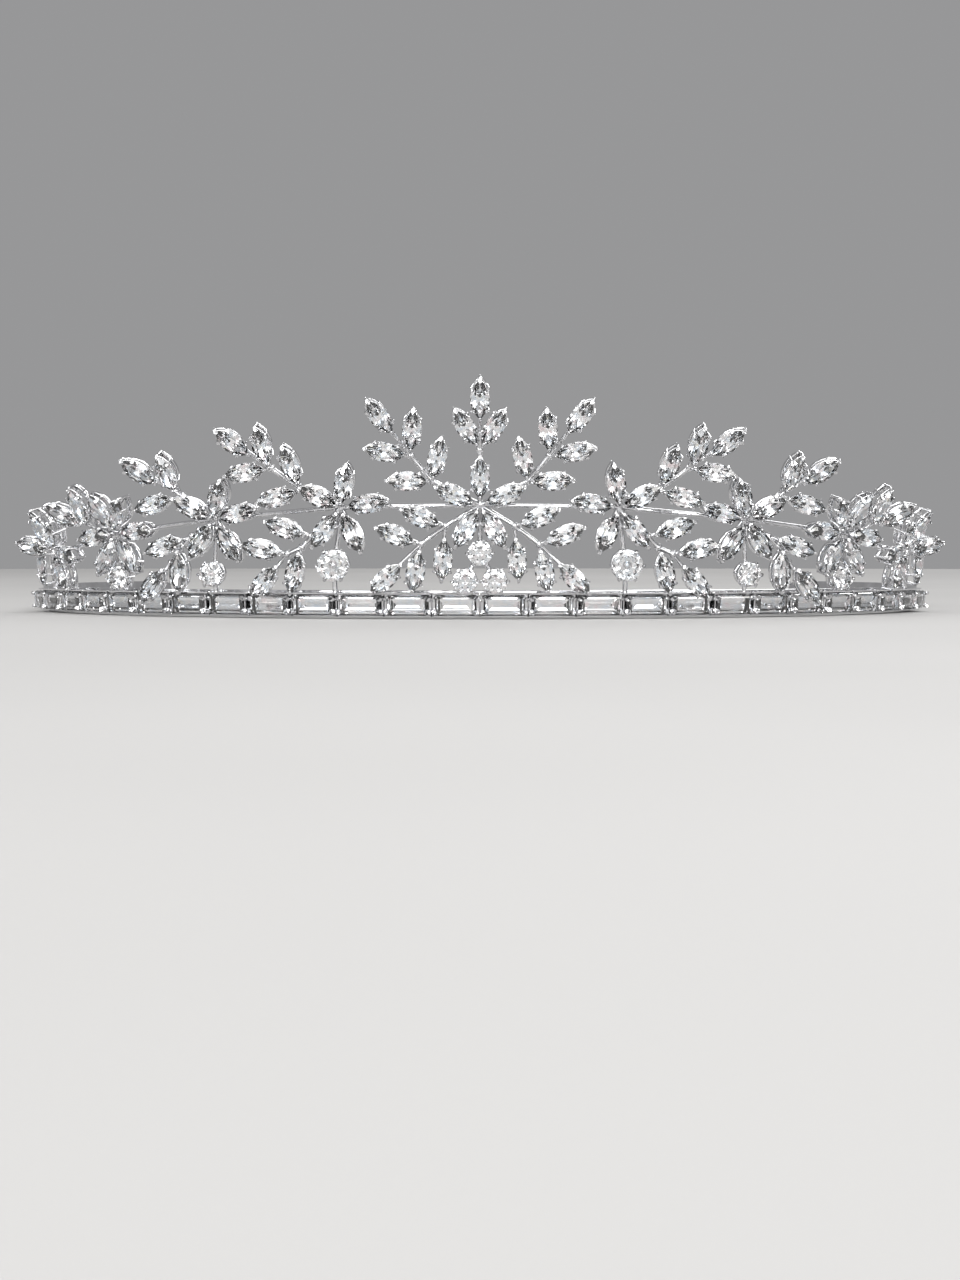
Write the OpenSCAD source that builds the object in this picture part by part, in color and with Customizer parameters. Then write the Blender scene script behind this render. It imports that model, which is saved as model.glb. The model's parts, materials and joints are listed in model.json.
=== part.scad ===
// Bridal diadem: an open metal headband that carries a rail of baguette stones
// and nine sprays of marquise and round stones. It stands on the band's lower edge,
// with the front towards -Y, the left and right sides towards -X and +X, and +Z up.

/* [Headband] */
// Radius of the band's outer face across the front
front_r = 83; // [76:1:92]
// Radius of the band's outer face along both sides
side_r = 66; // [62:1:72]
// Angle from the middle at which the front curve meets the side curve
blend_deg = 35; // [28:1:42]
// Angle from the middle at which each open end of the band lies
end_deg = 130; // [115:1:142]
// Height of the band
band_h = 4; // [3.8:0.1:6]
// Thickness of the band
band_t = 1; // [0.8:0.1:1.6]
// Outward lean of the band, the rail and the sprays
lean_deg = 5; // [0:1:9]

/* [Rail] */
// Number of baguette stones
baguette_count = 26; // [22:2:28]
// Length of a baguette stone
baguette_l = 5.7; // [5:0.1:6.2]
// Height of a baguette stone
baguette_w = 2.9; // [2.4:0.1:3.2]
// Space between the ends of two baguette stones
baguette_gap = 1.3; // [1.2:0.05:1.8]
// Height of the bars above and below the baguette stones
rail_bar = 0.35; // [0.3:0.05:0.6]
// Front to back depth of the bars
rail_depth = 1.1; // [0.9:0.05:1.5]
// Space between the band and the rail
rail_gap = 0.35; // [0.2:0.05:0.6]
// Diameter of the beads that hold the baguette stones
bead_d = 0.5; // [0.4:0.05:0.55]
// Height of a baguette stone's girdle over the bars
baguette_seat = 0.6; // [0.55:0.05:0.9]

/* [Stones] */
// Length of a marquise stone
leaf_l = 5.8; // [5.4:0.1:6.2]
// Width of a marquise stone
leaf_w = 2.6; // [2.2:0.1:2.8]
// Diameter of a round stone
round_d = 3.4; // [3:0.1:3.6]
// Diameter of the larger round stone beside the middle spray
big_round_d = 4.4; // [3.8:0.1:4.8]
// Height of a stone above its girdle
crown_h = 0.7; // [0.5:0.05:0.9]
// Height of a stone's girdle band
girdle_h = 0.2; // [0.15:0.05:0.3]
// Depth of a stone below its girdle
pavilion_h = 1.3; // [1:0.05:1.4]

/* [Settings] */
// Space between a stone and its metal
stone_fit = 0.12; // [0.1:0.01:0.2]
// Diameter of a prong
prong_d = 0.4; // [0.3:0.05:0.5]
// Height of a prong above the girdle
prong_over = 0.4; // [0.3:0.05:0.6]
// Height of the gallery ring under a stone
ring_h = 0.6; // [0.4:0.05:0.8]
// Width of the gallery ring inside its stone's edge
ring_in = 0.55; // [0.4:0.05:0.7]
// Distance from a gallery ring's middle to its stone's girdle
girdle_rise = 2; // [1.95:0.05:2.4]
// Diameter of the wires that carry single stones
wire_d = 0.6; // [0.5:0.05:0.8]
// Diameter of the stems, posts and links
stem_d = 0.75; // [0.6:0.05:0.9]
// Diameter of the solder where wires meet
solder_d = 1; // [0.9:0.05:1.3]
// Height of the solder over the wires
solder_over = 0.08; // [0.05:0.01:0.2]
// Distance from the band's outer face to the plane of the spray wires
spray_out = 0.9; // [0.8:0.05:1.1]

/* [Hidden] */
$fn = 48;
FULL_TURN = 360;
DEG = 180 / PI;
SIDES = [-1, 1];
SIDE_NAMES = ["left", "right"];

// Two tangent arcs make each half of the band: their length and centres
front_len = front_r * blend_deg / DEG;
end_len = front_len + side_r * (end_deg - blend_deg) / DEG;
side_x = (front_r - side_r) * sin(blend_deg);
front_y = (front_r - side_r) * cos(blend_deg);

// Rail
rail_pitch = baguette_l + baguette_gap;
rail_h = baguette_w + 2 * rail_bar;
rail_mid = band_h / 2;
rail_top = rail_mid + rail_h / 2;
rail_front = rail_gap + rail_depth;
BEAD_SPREAD = 0.27;
END_ROUND = 1.04;

// Cuts of the stones: shares of the girdle outline and of the pavilion
LEAF_TABLE = 0.56;
ROUND_TABLE = 0.58;
BAGUETTE_TABLE = [0.80, 0.56];
BAGUETTE_STEP = [0.90, 0.80];
BAGUETTE_KEEL = [0.45, 0.10];
BAGUETTE_PAVILION = 0.8;
LEAF_STEPS = 4;
ROUND_STEPS = 10;
ROUND_PRONGS = 6;
WIRE_SIDES = 6;

// Columns of the spray tables. Every length is a share of leaf_l, x runs outwards from
// the hub and y upwards, and angles are counted from straight up, outwards.
JOINT_X = 0;
JOINT_Y = 1;
JOINT_FROM = 2;
LEAF_JOINT = 0;
LEAF_ANGLE = 1;
LEAF_REACH = 2;
LEAF_LIFT = 3;
ROUND_JOINT = 0;
ROUND_D = 1;
ROUND_POST = 2;
PLACE_ALONG = 0;
PLACE_RISE = 1;
PLACE_TURN = 2;

// Place of each spray: along the band, its hub's height over the rail, its turn outwards
PLACES = [
    [0, 2.23, 0],
    [3.45, 2.18, 8],
    [6.93, 1.90, 13],
    [10.22, 1.56, 13],
    [13.35, 1.06, 8],
    [14.25, 0.05, 0]
];

// Joints of each spray's wires: x, y, the joint that carries it. Joint 0 is the hub.
HUB = [0, 0, 0];
STEM_JOINTS = [HUB, [0, 1.40, 0], [0, -1.20, 0], [-0.38, -1.91, 2], [0.38, -1.91, 2]];
WING_JOINTS = [HUB, [1.20, 0.60, 0], [1.75, 1.24, 1], [0.88, -0.54, 0], [1.50, -1.00, 3]];
SIDE_JOINTS = [
    [HUB, [1.00, 0.44, 0], [1.80, 1.02, 1], [0.80, -0.74, 0], [1.07, -1.02, 3], [1.45, -1.18, 4],
        [0.24, -1.46, 0]],
    [HUB, [0.95, 0.62, 0], [0.72, -0.44, 0], [1.02, -0.69, 2], [0.14, -1.42, 0]],
    [HUB, [0.78, 0.08, 0], [0.04, -1.20, 0]],
    [HUB, [0, -1.10, 0]],
    [HUB, [0, -0.10, 0]]
];

// Marquise stones of each spray: joint, angle, reach to the stone's middle, forward lift
STEM_LEAVES = [[0, 0, 0.74, 6], [1, -32, 0.77, 14], [1, 32, 0.77, 14], [1, 0, 1.45, 18]];
WING_LEAVES = [
    [0, 67, 0.74, 6],
    [0, 149, 0.74, 6],
    [1, -12, 0.66, 8],
    [1, 88, 0.68, 8],
    [2, 80, 0.72, 10],
    [2, -4, 0.76, 14],
    [2, 37, 1.42, 18],
    [3, 68, 0.70, 4],
    [3, 176, 0.84, 0],
    [4, 68, 0.72, 4],
    [4, 169, 0.69, 0],
    [4, 134, 1.24, 0]
];
SIDE_LEAVES = [
    [
        [0, -12, 0.74, 16],
        [0, 62, 0.68, 8],
        [0, -82, 0.74, 4],
        [0, 143, 0.74, 4],
        [0, -156, 0.74, 4],
        [1, 18, 0.84, 18],
        [1, 104, 0.68, 4],
        [2, 12, 0.78, 22],
        [2, 51, 1.28, 20],
        [2, 98, 0.68, 8],
        [3, 70, 0.70, 0],
        [4, 166, 0.66, 0],
        [5, 140, 0.92, 0],
        [5, 76, 0.66, 0]
    ],
    [
        [0, -22, 0.76, 20],
        [0, 60, 0.68, 8],
        [0, -78, 0.74, 4],
        [0, 146, 0.70, 4],
        [0, -148, 0.78, 4],
        [1, 14, 0.84, 24],
        [1, 52, 1.30, 20],
        [1, 106, 0.74, 8],
        [2, 108, 0.76, 0],
        [3, 178, 0.66, 0],
        [3, 142, 1.29, 0]
    ],
    [
        [0, -36, 0.88, 26],
        [0, 26, 0.80, 16],
        [0, -87, 0.76, 4],
        [0, 97, 0.74, 0],
        [0, 151, 0.74, 4],
        [0, -150, 0.74, 4],
        [1, 10, 0.92, 24],
        [1, 56, 1.02, 22]
    ],
    [
        [0, -46, 0.88, 22],
        [0, 14, 0.86, 20],
        [0, 74, 0.84, 24],
        [0, -97, 0.81, 6],
        [0, -147, 0.73, 4]
    ],
    [[0, 0, 0.64, 0]]
];

// Round stones of each spray: joint, diameter, whether a post runs from it to the rail
STEM_ROUNDS = [[2, round_d, false], [3, round_d, true], [4, round_d, true]];
SIDE_ROUNDS = [[[6, big_round_d, true]], [[4, round_d, true]], [[2, round_d, true]], [], []];

// Numbers of the side sprays, counted from the middle, and of those with a round stone
SPRAYS = [1 : len(SIDE_LEAVES)];
ROUND_SPRAYS = [for (n = SPRAYS) if (len(SIDE_ROUNDS[n - 1]) > 0) n];

// A marquise outline whose long axis lies along y: two equal arcs from tip to tip
function arc_r(half_l, half_w) = (half_l * half_l + half_w * half_w) / (2 * half_w);
function arc_half(half_l, half_w) = asin(half_l / arc_r(half_l, half_w));
function arc_point(half_l, half_w, side, angle, out = 0) =
    let (r = arc_r(half_l, half_w))
    [side * ((r + out) * cos(angle) - r + half_w), (r + out) * sin(angle)];
function leaf_outline(half_l, half_w) =
    let (top = arc_half(half_l, half_w), step = 2 * top / LEAF_STEPS)
    concat(
        [for (i = [0 : LEAF_STEPS]) arc_point(half_l, half_w, 1, i * step - top)],
        [for (i = [1 : LEAF_STEPS - 1]) arc_point(half_l, half_w, -1, top - i * step)]
    );
function round_outline(r) =
    let (step = FULL_TURN / ROUND_STEPS)
    [for (i = [0 : ROUND_STEPS - 1]) r * [cos(i * step), sin(i * step)]];
function box_outline(w, h) = [[-w, -h], [w, -h], [w, h], [-w, h]] / 2;
function lifted(outline, share, z) =
    let (part = is_list(share) ? share : [share, share])
    [for (p = outline) [p.x * part.x, p.y * part.y, z]];

// Global place of a point on the band: up is counted along its lean, out from its face
function band_turn(along) =
    let (q = abs(along))
    sign(along) * (min(q, front_len) / front_r + max(0, q - front_len) / side_r) * DEG;
function band_centre(along) = abs(along) > front_len ? [sign(along) * side_x, 0, 0] : [0, front_y, 0];
function band_r(along) = abs(along) > front_len ? side_r : front_r;
function band_point(along, up, out) =
    let (
        turn = band_turn(along),
        r = band_r(along) + up * sin(lean_deg) + out * cos(lean_deg)
    )
    band_centre(along) + [r * sin(turn), -r * cos(turn), up * cos(lean_deg) - out * sin(lean_deg)];
function hub_along(number, side) = side * PLACES[number][PLACE_ALONG] * leaf_l;
function hub_up(number) = rail_top + PLACES[number][PLACE_RISE] * leaf_l;
function hub_point(number, side) = band_point(hub_along(number, side), hub_up(number), spray_out);

// Places children on the band: x along it to the right, y up its lean, z outwards
module on_band(along) {
    translate(band_centre(along)) rotate([0, 0, band_turn(along)]) translate([0, -band_r(along), 0])
        rotate([90 + lean_deg, 0, 0]) children();
}

// Places children at a spray's hub, in the plane of its wires
module at_hub(number, side) {
    on_band(hub_along(number, side)) translate([0, hub_up(number), spray_out])
        rotate([0, -side * PLACES[number][PLACE_TURN], 0]) children();
}

// Places children at a joint of a spray
module at_joint(joint, side) {
    translate([side * joint[JOINT_X], joint[JOINT_Y], 0] * leaf_l) children();
}

// Places children in the middle of a marquise stone's girdle plane
module at_leaf(joints, leaf, side) {
    at_joint(joints[leaf[LEAF_JOINT]], side)
        rotate([0, 0, -side * leaf[LEAF_ANGLE]]) rotate([leaf[LEAF_LIFT], 0, 0])
            translate([0, leaf[LEAF_REACH] * leaf_l, girdle_rise]) children();
}

// One arc of the band: the leaning section turned from angle a to angle b
module band_arc(r, a, b) {
    flare = band_h * tan(lean_deg);
    rotate([0, 0, a - 90]) rotate_extrude(angle = b - a)
        polygon([[r - band_t, 0], [r, 0], [r + flare, band_h], [r + flare - band_t, band_h]]);
}

// What rounds off the band's end on one side
module end_cut(side) {
    slope_h = band_h / cos(lean_deg);
    r = END_ROUND * slope_h / 2;
    on_band(side * end_len) rotate([0, side > 0 ? 0 : 180, 0]) translate([-r, slope_h / 2, 0])
        difference() {
            translate([0, -slope_h, -slope_h]) cube([2 * r, 2 * slope_h, 2 * slope_h]);
            cylinder(r = r, h = 3 * slope_h, center = true);
        }
}

module band() {
    difference() {
        union() {
            translate([0, front_y, 0]) band_arc(front_r, -blend_deg, blend_deg);
            translate([side_x, 0, 0]) band_arc(side_r, blend_deg, end_deg);
            translate([-side_x, 0, 0]) band_arc(side_r, -end_deg, -blend_deg);
        }
        for (side = SIDES) end_cut(side);
    }
}

// The open frame behind one baguette stone
module rail_cell() {
    translate([0, rail_mid, rail_gap]) linear_extrude(rail_depth) difference() {
        square([rail_pitch, rail_h], center = true);
        square([baguette_l, baguette_w] - [2, 2] * ring_in, center = true);
    }
}

// The solder and the four beads where two baguette stones meet
module rail_joint() {
    bead_x = baguette_gap / 2 - stone_fit - bead_d / 2;
    bead_y = BEAD_SPREAD * baguette_w;
    solder = [2 * bead_d, rail_h / 2, band_t / 2 + rail_gap + rail_depth / 2];
    translate([-solder.x / 2, rail_mid - solder.y / 2, -band_t / 2]) cube(solder);
    for (x = [-bead_x, bead_x], y = [-bead_y, bead_y]) translate([x, rail_mid + y, rail_gap])
        cylinder(d = bead_d, h = rail_depth + baguette_seat + prong_over);
}

module rail() {
    half = baguette_count / 2;
    for (i = [0 : baguette_count - 1]) on_band((i - half + 0.5) * rail_pitch) rail_cell();
    for (i = [0 : baguette_count]) on_band((i - half) * rail_pitch) rail_joint();
}

// A marquise plate's shape: where two equal circles overlap
module leaf_shape(half_l, half_w) {
    r = arc_r(half_l, half_w);
    intersection_for(x = [half_w - r, r - half_w]) translate([x, 0]) circle(r);
}

module prong() {
    cylinder(d = prong_d, h = girdle_rise + ring_h / 2 + prong_over);
}

// A gallery ring with its prongs, around a stone whose girdle lies at z = 0
module leaf_setting() {
    half_l = leaf_l / 2;
    half_w = leaf_w / 2;
    out = stone_fit + prong_d / 2;
    quarter = arc_half(half_l, half_w) / 2;
    translate([0, 0, -girdle_rise - ring_h / 2]) {
        linear_extrude(ring_h) difference() {
            leaf_shape(half_l + out, half_w + out);
            leaf_shape(half_l - ring_in, half_w - ring_in);
        }
        for (y = [-half_l - out, half_l + out]) translate([0, y, 0]) prong();
        for (side = SIDES, a = [-quarter, quarter])
            translate(arc_point(half_l, half_w, side, a, out)) prong();
    }
}

module round_setting(d) {
    out = stone_fit + prong_d / 2;
    translate([0, 0, -girdle_rise - ring_h / 2]) {
        linear_extrude(ring_h) difference() {
            circle(d / 2 + out);
            circle(d / 2 - ring_in);
        }
        for (i = [0 : ROUND_PRONGS - 1]) rotate(i * FULL_TURN / ROUND_PRONGS)
            translate([d / 2 + out, 0, 0]) prong();
    }
}

// A straight wire from the origin along y
module wire(length, d) {
    rotate([-90, 0, 0]) cylinder(d = d, h = length, $fn = WIRE_SIDES);
}

// A straight wire between two points
module link(a, b, d) {
    reach = b - a;
    translate(a) rotate([0, acos(reach.z / norm(reach)), atan2(reach.y, reach.x)])
        cylinder(d = d, h = norm(reach), $fn = WIRE_SIDES);
}

module solder() {
    cylinder(d = solder_d, h = stem_d + 2 * solder_over, center = true);
}

module spray_metal(joints, leaves, side) {
    for (leaf = leaves) at_leaf(joints, leaf, side) {
        reach = leaf[LEAF_REACH] * leaf_l;
        leaf_setting();
        translate([0, -reach, -girdle_rise]) wire(reach - leaf_l / 2 + ring_in / 2, wire_d);
    }
    for (i = [1 : 1 : len(joints) - 1]) {
        from = joints[joints[i][JOINT_FROM]];
        dx = side * (joints[i][JOINT_X] - from[JOINT_X]) * leaf_l;
        dy = (joints[i][JOINT_Y] - from[JOINT_Y]) * leaf_l;
        at_joint(from, side) rotate([0, 0, -atan2(dx, dy)]) wire(norm([dx, dy]), stem_d);
        at_joint(joints[i], side) solder();
    }
}

// Settings of a spray's round stones, with the posts that carry them on the rail
module round_metal(number, joints, rounds, side) {
    for (stone = rounds) at_joint(joints[stone[ROUND_JOINT]], side) {
        joint = joints[stone[ROUND_JOINT]];
        drop = (joint[JOINT_Y] + PLACES[number][PLACE_RISE]) * leaf_l;
        translate([0, 0, girdle_rise]) round_setting(stone[ROUND_D]);
        if (stone[ROUND_POST]) rotate([0, 0, 180]) wire(drop + rail_bar, stem_d);
    }
}

module middle_spray_metal() {
    at_hub(0, 1) {
        solder();
        spray_metal(STEM_JOINTS, STEM_LEAVES, 1);
        round_metal(0, STEM_JOINTS, STEM_ROUNDS, 1);
        for (side = SIDES) spray_metal(WING_JOINTS, WING_LEAVES, side);
    }
}

module side_spray_metal(number, side) {
    at_hub(number, side) {
        solder();
        spray_metal(SIDE_JOINTS[number - 1], SIDE_LEAVES[number - 1], side);
        round_metal(number, SIDE_JOINTS[number - 1], SIDE_ROUNDS[number - 1], side);
    }
    link(hub_point(number - 1, side), hub_point(number, side), stem_d);
}

module frame() {
    color("silver") {
        band();
        rail();
        middle_spray_metal();
        for (side = SIDES, number = SPRAYS) side_spray_metal(number, side);
    }
}

// A cut stone: levels of equal outlines from the lowest to the table, over a culet point
// where one is given, or else closed flat below
module gem(levels, culet) {
    n = len(levels[0]);
    top = len(levels) - 1;
    points = [for (level = levels) each level];
    walls = [for (k = [0 : top - 1], i = [0 : n - 1])
        [k * n + i, (k + 1) * n + i, (k + 1) * n + (i + 1) % n, k * n + (i + 1) % n]];
    table = [[for (i = [n - 1 : -1 : 0]) top * n + i]];
    below = is_undef(culet)
        ? [[for (i = [0 : n - 1]) i]]
        : [for (i = [0 : n - 1]) [len(points), i, (i + 1) % n]];
    polyhedron(is_undef(culet) ? points : concat(points, [culet]), concat(walls, table, below));
}

module brilliant(outline, table) {
    girdle = [lifted(outline, 1, -girdle_h / 2), lifted(outline, 1, girdle_h / 2)];
    gem(concat(girdle, [lifted(outline, table, crown_h)]), [0, 0, -pavilion_h]);
}

module spray_stones(joints, leaves, side) {
    for (leaf = leaves) at_leaf(joints, leaf, side)
        brilliant(leaf_outline(leaf_l / 2, leaf_w / 2), LEAF_TABLE);
}

module middle_marquises() {
    color("white") at_hub(0, 1) {
        spray_stones(STEM_JOINTS, STEM_LEAVES, 1);
        for (side = SIDES) spray_stones(WING_JOINTS, WING_LEAVES, side);
    }
}

module side_marquises(number, side) {
    color("white") at_hub(number, side)
        spray_stones(SIDE_JOINTS[number - 1], SIDE_LEAVES[number - 1], side);
}

module round_stone(joints, stone, side) {
    at_joint(joints[stone[ROUND_JOINT]], side) translate([0, 0, girdle_rise])
        brilliant(round_outline(stone[ROUND_D] / 2), ROUND_TABLE);
}

module middle_round(i) {
    color("aliceblue") at_hub(0, 1) round_stone(STEM_JOINTS, STEM_ROUNDS[i - 1], 1);
}

module side_round(number, side) {
    color("aliceblue") at_hub(number, side)
        round_stone(SIDE_JOINTS[number - 1], SIDE_ROUNDS[number - 1][0], side);
}

// A step cut stone between its four beads, counted from the left end of the rail
module baguette(i) {
    outline = box_outline(baguette_l, baguette_w);
    color("whitesmoke") on_band((i - 0.5 - baguette_count / 2) * rail_pitch)
        translate([0, rail_mid, rail_front + baguette_seat]) gem([
            lifted(outline, BAGUETTE_KEEL, -pavilion_h * BAGUETTE_PAVILION),
            lifted(outline, 1, -girdle_h / 2),
            lifted(outline, 1, girdle_h / 2),
            lifted(outline, BAGUETTE_STEP, (girdle_h / 2 + crown_h) / 2),
            lifted(outline, BAGUETTE_TABLE, crown_h)
        ]);
}

frame();
middle_marquises();  // marquises_middle
for (s = [0, 1], n = SPRAYS)
    side_marquises(n, SIDES[s]);
for (i = [1 : len(STEM_ROUNDS)])
    middle_round(i);
for (s = [0, 1], n = ROUND_SPRAYS)
    side_round(n, SIDES[s]);
for (i = [1 : baguette_count])
    baguette(i);
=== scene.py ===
# %% [markdown]
# # A bridal diadem
# The real object is a jeweller's assembly. A flat headband, open behind, carries a rail of
# rectangular step cut stones. Above the rail stand sprays of short wires, and each wire ends in a
# little basket of claws that holds one pointed or round stone. Everything metal is soldered to
# one piece and plated, and only the stones are separate.
#
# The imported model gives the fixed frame: every piece here is made where that model has its solid,
# in the same axes and in metres.

# %% Load the fixed frame
import json
import math
from collections import namedtuple

import bmesh
import bpy
from mathutils import Matrix, Vector

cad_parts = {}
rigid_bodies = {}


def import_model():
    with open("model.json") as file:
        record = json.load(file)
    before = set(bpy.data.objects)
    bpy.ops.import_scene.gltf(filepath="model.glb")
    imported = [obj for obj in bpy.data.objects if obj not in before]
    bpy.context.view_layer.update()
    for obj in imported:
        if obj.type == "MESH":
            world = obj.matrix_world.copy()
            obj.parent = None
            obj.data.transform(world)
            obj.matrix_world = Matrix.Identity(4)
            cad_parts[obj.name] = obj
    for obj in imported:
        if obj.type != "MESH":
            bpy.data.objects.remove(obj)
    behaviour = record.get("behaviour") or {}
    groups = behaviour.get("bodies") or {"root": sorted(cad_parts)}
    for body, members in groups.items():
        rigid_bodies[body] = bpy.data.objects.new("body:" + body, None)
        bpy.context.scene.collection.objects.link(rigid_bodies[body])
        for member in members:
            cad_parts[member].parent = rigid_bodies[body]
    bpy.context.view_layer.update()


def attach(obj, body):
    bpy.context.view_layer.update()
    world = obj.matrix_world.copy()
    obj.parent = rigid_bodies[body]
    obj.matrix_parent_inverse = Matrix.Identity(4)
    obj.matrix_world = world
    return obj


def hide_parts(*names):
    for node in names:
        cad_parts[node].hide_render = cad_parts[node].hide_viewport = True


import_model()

# %% [markdown]
# ## Working like a jeweller at the bench
# Each repeated part is modelled once, in millimetres and near the origin, with Blender's own edit
# mode tools. The copies are then set on the diadem by a matrix, and each copy gets its own mesh.
# Everything could be modelled in metres where it belongs, but numbers that small trip the merge
# distances of the tools, so the change to metres comes only with the setting.

# %% Helpers for the bench
MM = Matrix.Scale(0.001, 4)
models = []


def clear_bench():
    """Leaves edit mode and deselects all."""
    if bpy.context.object and bpy.context.object.mode != "OBJECT":
        bpy.ops.object.mode_set(mode="OBJECT")
    bpy.ops.object.select_all(action="DESELECT")


def open_mesh():
    """Applies the new primitive's place and size, and opens its mesh with all selected."""
    bpy.ops.object.transform_apply(location=True, rotation=True, scale=True)
    bpy.ops.object.mode_set(mode="EDIT")
    bpy.ops.mesh.select_all(action="SELECT")


def pick(kind, wanted):
    """In edit mode, selects the parts of a kind whose middle and normal are wanted.

    The kind is VERT, EDGE or FACE. For an edge, the second value is its direction.
    """
    bpy.ops.mesh.select_mode(type=kind)
    bpy.ops.mesh.select_all(action="DESELECT")
    mesh = bmesh.from_edit_mesh(bpy.context.object.data)
    mesh.normal_update()
    for part in {"VERT": mesh.verts, "EDGE": mesh.edges, "FACE": mesh.faces}[kind]:
        points = [part.co] if kind == "VERT" else [v.co for v in part.verts]
        middle = sum(points, Vector()) / len(points)
        normal = part.normal if kind != "EDGE" else (points[1] - points[0]).normalized()
        part.select_set(wanted(middle, normal))
    bmesh.update_edit_mesh(bpy.context.object.data)


def add_modifier(kind, **values):
    """Adds a modifier to the part on the bench and applies it at once."""
    back_to_edit = bpy.context.object.mode == "EDIT"
    bpy.ops.object.mode_set(mode="OBJECT")
    made = bpy.context.object.modifiers.new(kind.lower(), kind)
    for key, value in values.items():
        setattr(made, key, value)
    bpy.ops.object.modifier_apply(modifier=made.name)
    if back_to_edit:
        bpy.ops.object.mode_set(mode="EDIT")


def ease_edges(width, segments, over_deg=50):
    """Bevels the edges that are sharper than an angle."""
    add_modifier("BEVEL", width=width, segments=segments, limit_method="ANGLE",
                 angle_limit=math.radians(over_deg))


def keep_model(part, name):
    """Names a part and keeps it on the bench as a model for copies."""
    part.name = name
    models.append(part)
    print(name, "has", len(part.data.polygons), "faces")
    return part


def close_mesh(name, finish, smooth=None):
    """Turns all faces outwards, leaves the mesh and gives the new model its name and finish."""
    bpy.ops.mesh.select_all(action="SELECT")
    bpy.ops.mesh.remove_doubles(threshold=0.0005)
    bpy.ops.mesh.normals_make_consistent(inside=False)
    if bmesh.from_edit_mesh(bpy.context.object.data).calc_volume(signed=True) < 0:
        bpy.ops.mesh.flip_normals()
    bpy.ops.object.mode_set(mode="OBJECT")
    part = bpy.context.object
    part.data.name = name
    part.data.materials.clear()
    part.data.materials.append(finish)
    if smooth is None:
        bpy.ops.object.shade_flat()
    else:
        bpy.ops.object.shade_smooth_by_angle(angle=math.radians(smooth))
    return keep_model(part, name)


def copied(part, place):
    """A copy of a part, with its own mesh, at another place."""
    copy = bpy.data.objects.new(part.name, part.data.copy())
    copy.data.transform(place)
    bpy.context.collection.objects.link(copy)
    return copy


def set_on(part, place):
    """A copy of a part, set on the diadem in metres."""
    return copied(part, MM @ place)


def joined(copies):
    """Joins copies to one object."""
    clear_bench()
    for copy in copies:
        copy.select_set(True)
    bpy.context.view_layer.objects.active = copies[0]
    if len(copies) > 1:
        bpy.ops.object.join()
    return bpy.context.object


def fuse(name, copies):
    """Joins the copies to one piece that rides on the diadem."""
    piece = joined(copies)
    piece.name = name
    piece.data.name = name
    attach(piece, "root")
    return piece


def finished(piece, node):
    """Hides the solid of the imported model that a piece stands for, and prints the piece's size.
    """
    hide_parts(node)
    corners = [Vector(c) * 1000 for c in piece.bound_box]
    low, high = (Vector(map(f, *corners)) for f in (min, max))
    print(piece.name, len(piece.data.polygons), "faces, from", [round(v, 1) for v in low], "to",
          [round(v, 1) for v in high], "mm")


print("bench ready")

# %% [markdown]
# ## Sizes
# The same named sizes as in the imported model, in millimetres. The stones are small: a pointed
# stone is about 6 mm long, so a tenth of a millimetre of metal already shows. Each claw is
# notched for the stone, so a cut stone reaches a little further out than its plain solid.

# %% Named sizes
front_r, side_r, blend_deg, end_deg = 83, 66, 35, 130
band_h, band_t, lean_deg = 4, 1, 5
baguette_count, baguette_l, baguette_w, baguette_gap = 26, 5.7, 2.9, 1.3
rail_bar, rail_depth, rail_gap, bead_d, baguette_seat = 0.35, 1.1, 0.35, 0.5, 0.6
leaf_l, leaf_w, round_d, big_round_d = 5.8, 2.6, 3.4, 4.4
crown_h, girdle_h, pavilion_h, notch = 0.55, 0.12, 1.5, 0.08
stone_fit, prong_d, ring_h, ring_in, girdle_rise = 0.12, 0.4, 0.6, 0.55, 2
wire_d, stem_d, spray_out = 0.6, 0.75, 0.9

front_len = front_r * math.radians(blend_deg)
end_len = front_len + side_r * math.radians(end_deg - blend_deg)
side_x = (front_r - side_r) * math.sin(math.radians(blend_deg))
front_y = (front_r - side_r) * math.cos(math.radians(blend_deg))
rail_pitch = baguette_l + baguette_gap
rail_h = baguette_w + 2 * rail_bar
rail_mid = band_h / 2
rail_top = rail_mid + rail_h / 2
rail_front = rail_gap + rail_depth
print("band length round its face:", round(2 * end_len, 1), "mm")

# %% [markdown]
# ## Where things sit on the band
# Seen from above, each half of the band is two arcs that run into each other: a flatter one in
# front and a tighter one down the side. A place on it is given by the distance along the band
# from the middle. The band, the rail and the sprays lean out by a few degrees together. Parts
# could be parented to a curve instead, but a matrix says plainly where each one sits.

# %% Places along the band


def moved(x, y, z):
    return Matrix.Translation((x, y, z))


def turned(degrees, axis):
    return Matrix.Rotation(math.radians(degrees), 4, axis)


def on_band(along):
    """The place on the band at a distance along it: x along, y up the lean, z outwards."""
    side = math.copysign(1, along)
    past = abs(along) - front_len
    if past > 0:
        centre, r = moved(side * side_x, 0, 0), side_r
        turn = side * (blend_deg + math.degrees(past / side_r))
    else:
        centre, r = moved(0, front_y, 0), front_r
        turn = math.degrees(along / front_r)
    return centre @ turned(turn, "Z") @ moved(0, -r, 0) @ turned(90 + lean_deg, "X")


rail_middle = on_band(0) @ Vector((0, rail_mid, 0))
print("the middle of the rail lies at", [round(v, 1) for v in rail_middle])

# %% [markdown]
# ## The sprays as tables
# Each spray grows from a hub. From there short wires fork at joints, and the stones sit round the
# hub and the joints like leaves. All lengths are shares of a pointed stone's length, x runs
# outwards and y upwards, angles count from straight up, and the lift tips a stone forward. The
# left half is the right half mirrored.

# %% Tables of the sprays
Place = namedtuple("Place", "along rise turn")
Joint = namedtuple("Joint", "x y parent")
Leaf = namedtuple("Leaf", "joint angle reach lift")
Round = namedtuple("Round", "joint size post")

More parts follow.
